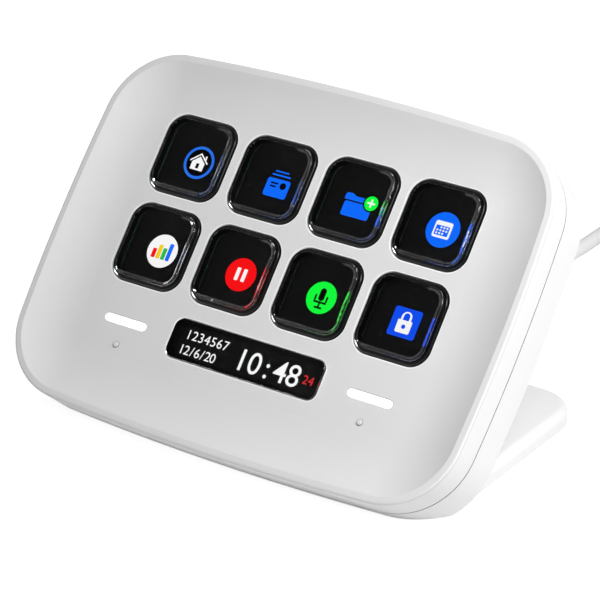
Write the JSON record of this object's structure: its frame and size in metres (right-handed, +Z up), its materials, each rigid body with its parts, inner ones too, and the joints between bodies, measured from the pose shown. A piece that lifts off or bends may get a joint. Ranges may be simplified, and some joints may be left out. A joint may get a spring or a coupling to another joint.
{
  "type": "display keypad",
  "caption": "Desk keypad with clear square keys over a display, an information bar and touch strips, leaning back on a fixed foot, with a cable and plug.",
  "frame": {"origin": "middle of the non-slip pad's underside, on the desk", "axes": "+X to the user's right, +Y away from the user, +Z up; the face leans back 50 degrees from level"},
  "size_m": [0.1249, 0.204, 0.0658],
  "materials": {
    "white_shell": "satin",
    "clear_key": "polished",
    "clear_bar": "polished",
    "light_bar": "translucent white",
    "grey_silicone": "matte",
    "board_green": "solder mask",
    "emitter": "gloss",
    "panel_glass": "polished",
    "dark_tray": "matte",
    "screw_steel": "zinc plated",
    "pad_rubber": "matte",
    "cord_grey": "satin",
    "tie_fabric": "woven",
    "plug_grip": "satin",
    "plug_metal": "nickel plated",
    "tongue": "satin"
  },
  "bodies": {
    "base": {"front_cover": "white_shell", "rear_shell": "white_shell", "stand_foot": "white_shell", "foot_pad": "pad_rubber", "key_mat": "grey_silicone", "info_lens": "clear_bar", "contact_board": "board_green", "display_panel": "panel_glass", "display_frame": "dark_tray", "touch_light_left": "light_bar", "touch_light_right": "light_bar", "touch_emitters": "emitter", "main_board": "board_green", "case_screws": "screw_steel", "board_screws": "screw_steel", "stand_screws": "screw_steel", "cable_gland": "cord_grey", "cable": "cord_grey", "cable_coil": "cord_grey", "cable_tail": "cord_grey", "cable_tie": "tie_fabric", "plug_grip": "plug_grip", "plug_shell": "plug_metal", "plug_tongue": "tongue", "key_collar_1": "grey_silicone", "key_collar_2": "grey_silicone", "key_collar_3": "grey_silicone", "key_collar_4": "grey_silicone", "key_collar_5": "grey_silicone", "key_collar_6": "grey_silicone", "key_collar_7": "grey_silicone", "key_collar_8": "grey_silicone"},
    "key_1": {"key_1": "clear_key"},
    "key_2": {"key_2": "clear_key"},
    "key_3": {"key_3": "clear_key"},
    "key_4": {"key_4": "clear_key"},
    "key_5": {"key_5": "clear_key"},
    "key_6": {"key_6": "clear_key"},
    "key_7": {"key_7": "clear_key"},
    "key_8": {"key_8": "clear_key"}
  },
  "joints": [
    {"name": "key_1_press", "type": "slide", "parent": "base", "child": "key_1", "axis": [0, 0.766, -0.6428], "range_m": [0, 0.0008], "stiffness_N_per_m": 700, "springref_m": -0.0004, "deforming": ["key_collar_1"]},
    {"name": "key_2_press", "type": "slide", "parent": "base", "child": "key_2", "axis": [0, 0.766, -0.6428], "range_m": [0, 0.0008], "stiffness_N_per_m": 700, "springref_m": -0.0004, "deforming": ["key_collar_2"]},
    {"name": "key_3_press", "type": "slide", "parent": "base", "child": "key_3", "axis": [0, 0.766, -0.6428], "range_m": [0, 0.0008], "stiffness_N_per_m": 700, "springref_m": -0.0004, "deforming": ["key_collar_3"]},
    {"name": "key_4_press", "type": "slide", "parent": "base", "child": "key_4", "axis": [0, 0.766, -0.6428], "range_m": [0, 0.0008], "stiffness_N_per_m": 700, "springref_m": -0.0004, "deforming": ["key_collar_4"]},
    {"name": "key_5_press", "type": "slide", "parent": "base", "child": "key_5", "axis": [0, 0.766, -0.6428], "range_m": [0, 0.0008], "stiffness_N_per_m": 700, "springref_m": -0.0004, "deforming": ["key_collar_5"]},
    {"name": "key_6_press", "type": "slide", "parent": "base", "child": "key_6", "axis": [0, 0.766, -0.6428], "range_m": [0, 0.0008], "stiffness_N_per_m": 700, "springref_m": -0.0004, "deforming": ["key_collar_6"]},
    {"name": "key_7_press", "type": "slide", "parent": "base", "child": "key_7", "axis": [0, 0.766, -0.6428], "range_m": [0, 0.0008], "stiffness_N_per_m": 700, "springref_m": -0.0004, "deforming": ["key_collar_7"]},
    {"name": "key_8_press", "type": "slide", "parent": "base", "child": "key_8", "axis": [0, 0.766, -0.6428], "range_m": [0, 0.0008], "stiffness_N_per_m": 700, "springref_m": -0.0004, "deforming": ["key_collar_8"]}
  ]
}
